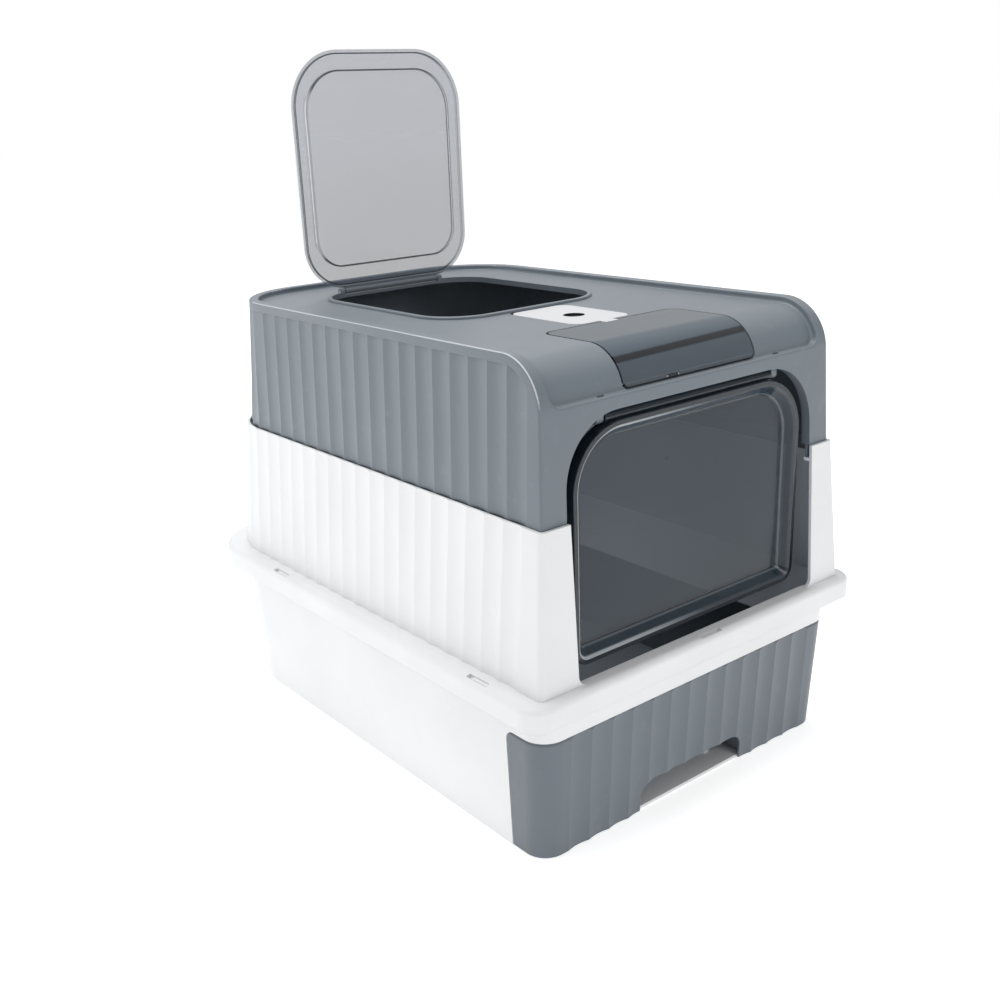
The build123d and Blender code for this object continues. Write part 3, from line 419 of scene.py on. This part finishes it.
def roofTrim(shader, place, tone, marks=roofRim):  # the rim's rounded edge catches the light
    across = apart(shader, place)[0]
    acrossFace, upFace = apart(shader, coordinate(shader, "Normal"), (0, 2))
    outward = across * acrossFace
    edge = spread(shader, abs(across), *marks["outer"]) * spread(shader, upFace, *marks["upward"])
    edge = edge * spread(shader, outward, *marks["rising"]) * spread(shader, outward, *marks["falling"])
    return blend(shader, edge * marks["share"], tone, marks["tone"])


latchHoleShade = {
    "across": 0.0,
    "along": extent("flap_latch")["front"] + 0.042,
    "radius": (0.0084, 0.0083),
    "tone": colour(0.012, 0.013, 0.015),
}


def latchTrim(shader, place, tone, marks=latchHoleShade):  # painted shade: the finger hole and its wall are darkened
    across, along = apart(shader, place, (0, 1))
    reach = ((across - marks["across"]) ** 2.0 + (along - marks["along"]) ** 2.0) ** 0.5
    return blend(shader, spread(shader, reach, *marks["radius"]), tone, marks["tone"])


drawnSteel = {
    "stretch": (40.0, 900.0, 900.0),  # fine lines along the pin
    "lines": (5.0, 3.0),
    "dark": colour(0.50, 0.51, 0.53),
    "light": colour(0.66, 0.67, 0.68),
    "rough": 0.22,
    "roughByLines": 0.2,
    "bump": 0.5,
    "depth": 0.00002,
}


def makeSteel(name, look=drawnSteel):
    shader = Shader(name)
    drawn = noise(shader, stretched(shader, coordinate(shader, "Object"), look["stretch"]), *look["lines"])
    bumpy = shader.node("ShaderNodeBump", {}, {
        "Strength": look["bump"], "Distance": look["depth"], "Height": drawn})
    shader.set(Base_Color=blend(shader, drawn, look["dark"], look["light"]), Metallic=1.0, Normal=bumpy,
               Roughness=drawn * look["roughByLines"] + look["rough"])
    return shader.material


# the worn tone serves real dust and scuffs, and also the painted edge highlights and the painted top light on
# up-facing faces
white = {
    "body": colour(0.775, 0.785, 0.795),
    "wornAndLit": colour(0.86, 0.86, 0.86),
    "rough": 0.44,
    "topLight": 0.0,
}
latchWhite = {
    "body": colour(0.73, 0.74, 0.76),
    "wornAndLit": colour(0.80, 0.80, 0.82),
    "rough": 0.40,
    "topLight": 0.0,
}
slate = {
    "body": colour(0.152, 0.180, 0.207),
    "wornAndLit": colour(0.31, 0.34, 0.37),
    "rough": 0.38,
    "topLight": 0.42,
}
# painted shade: a darker copy of the slate for the drawer front, low under the hem
shadedDrawerSlate = {
    "body": colour(0.126, 0.150, 0.174),
    "wornAndLit": colour(0.28, 0.31, 0.34),
    "rough": 0.38,
    "topLight": 0.42,
}

finishes = {
    "white_plastic": makeSatin("white plastic", white),
    "ring_plastic": makeSatin("white ring plastic", white, ringTrim),
    "latch_plastic": makeSatin("white latch plastic", latchWhite, latchTrim),
    "slate_plastic": makeSatin("slate plastic", slate),
    "cover_plastic": makeSatin("slate cover plastic", slate, roofTrim),
    "shaded_drawer_plastic": makeSatin("slate drawer plastic", shadedDrawerSlate),
    "smoked_plastic": makeClear("smoked plastic", door, doorTrim),
    "flap_plastic": makeClear("smoked flap plastic", flap, flapTrim),
    "clear_grey_plastic": makeClear("clear grey plastic", lid, lidTrim),
    "pin_steel": makeSteel("pin steel"),
}
print("finishes made:", len(finishes))

nodeFinish = {
    "base_shell": "white_plastic",
    "mid_shell": "ring_plastic",
    "flap_latch": "latch_plastic",
    "drawer_front": "shaded_drawer_plastic",
    "litter_tray": "slate_plastic",
    "top_cover": "cover_plastic",
    "storage_tub": "slate_plastic",
    "front_door": "smoked_plastic",
    "compartment_flap": "flap_plastic",
    "hatch_lid": "clear_grey_plastic",
    "hatch_hinge_pin": "pin_steel",
    "door_hinge_pins": "pin_steel",
    "flap_hinge_pins": "pin_steel",
}
for name, finish in nodeFinish.items():
    nodes[name].data.materials.clear()
    nodes[name].data.materials.append(finishes[finish])
print("materials on CAD nodes:", len(nodeFinish))


studio = {
    "floorSize": 60.0,
    "floorTones": (colour(0.80, 0.80, 0.80), colour(0.83, 0.83, 0.83)),
    "floorClouds": 3.0,
    "floorRough": 0.9,
    "floorGlow": 0.60,
    "white": colour(1.0, 1.0, 1.0),
    "backdrop": 1.0,       # how bright the empty studio is seen
    "skyLight": 0.48,      # and how much light it gives
    "lamps": [  # place, aim, width, watts
        ((-1.8, 0.3, 2.1), (-0.05, 0.05, 0.25), 1.4, 7.8),
        ((0.2, -2.3, 1.3), (0.0, 0.0, 0.2), 1.2, 9.5),
        ((-1.1, 1.5, 0.55), (-0.1, 0.1, 0.2), 1.0, 4.0),
        ((0.9, 1.6, 2.2), (0.0, 0.0, 0.3), 1.1, 12.0),
        ((-0.4, 0.35, 2.6), (-0.05, 0.1, 0.35), 1.5, 28.0),
    ],
}


def makeFloor(plan):
    shader = Shader("pale floor")
    clouds = noise(shader, coordinate(shader, "Object"), plan["floorClouds"])
    shader.set(Base_Color=blend(shader, clouds, *plan["floorTones"]), Roughness=plan["floorRough"],
               Emission_Color=plan["white"], Emission_Strength=plan["floorGlow"])
    mesh = bmesh.new()
    bmesh.ops.create_grid(mesh, x_segments=1, y_segments=1, size=plan["floorSize"] / 2)
    data = bpy.data.meshes.new("floor")
    mesh.to_mesh(data)
    mesh.free()
    floor = bpy.data.objects.new("floor", data)
    bpy.context.scene.collection.objects.link(floor)
    data.materials.append(shader.material)


def makeSky(plan):
    world = bpy.data.worlds.new("studio")
    world.use_nodes = True
    sky = world.node_tree.nodes["Background"]
    seen = world.node_tree.nodes.new("ShaderNodeLightPath")
    level = world.node_tree.nodes.new("ShaderNodeMapRange")
    level.inputs["To Min"].default_value = plan["skyLight"]
    level.inputs["To Max"].default_value = plan["backdrop"]
    world.node_tree.links.new(seen.outputs["Is Camera Ray"], level.inputs["Value"])
    world.node_tree.links.new(level.outputs["Result"], sky.inputs["Strength"])
    sky.inputs["Color"].default_value = plan["white"]
    bpy.context.scene.world = world


def makeLamps(plan):
    for count, (place, aim, width, watts) in enumerate(plan["lamps"]):
        light = bpy.data.lights.new(f"softbox{count}", "AREA")
        light.shape = "DISK"
        light.size = width
        light.energy = watts
        lamp = bpy.data.objects.new(f"softbox{count}", light)
        lamp.location = place
        lamp.rotation_euler = (Vector(aim) - Vector(place)).to_track_quat("-Z", "Y").to_euler()
        bpy.context.scene.collection.objects.link(lamp)


camera = {
    "place": (-0.59887, -0.74595, 0.50354),
    "yaw": math.radians(37.24),       # turned to the right of +Y
    "pitch": math.radians(19.93),     # looking down
    "roll": math.radians(-2.72),
    "focal": 1.15088,                 # in image widths
    "centre": (0.47553, 0.52993),     # of the lens axis, across and down the image
    "sensor": 36.0,                   # millimetres
    "nearest": 0.01,
}


def makeCamera(plan):
    yaw, pitch, roll = plan["yaw"], plan["pitch"], plan["roll"]
    ahead = Vector((math.sin(yaw) * math.cos(pitch), math.cos(yaw) * math.cos(pitch), -math.sin(pitch)))
    side = Vector((math.cos(yaw), -math.sin(yaw), 0.0))
    above = side.cross(ahead)
    across = side * math.cos(roll) + above * math.sin(roll)
    up = above * math.cos(roll) - side * math.sin(roll)
    lens = bpy.data.cameras.new("camera")
    lens.sensor_width = plan["sensor"]
    lens.lens = plan["sensor"] * plan["focal"]
    lens.shift_x = 0.5 - plan["centre"][0]
    lens.shift_y = plan["centre"][1] - 0.5
    lens.clip_start = plan["nearest"]
    seen = bpy.data.objects.new("camera", lens)
    seen.matrix_world = Matrix.Translation(plan["place"]) @ Matrix((across, up, -ahead)).transposed().to_4x4()
    bpy.context.scene.collection.objects.link(seen)
    bpy.context.scene.camera = seen


makeFloor(studio)
makeSky(studio)
makeLamps(studio)
makeCamera(camera)
bpy.context.scene.view_settings.view_transform = "Standard"
print("studio and camera ready")
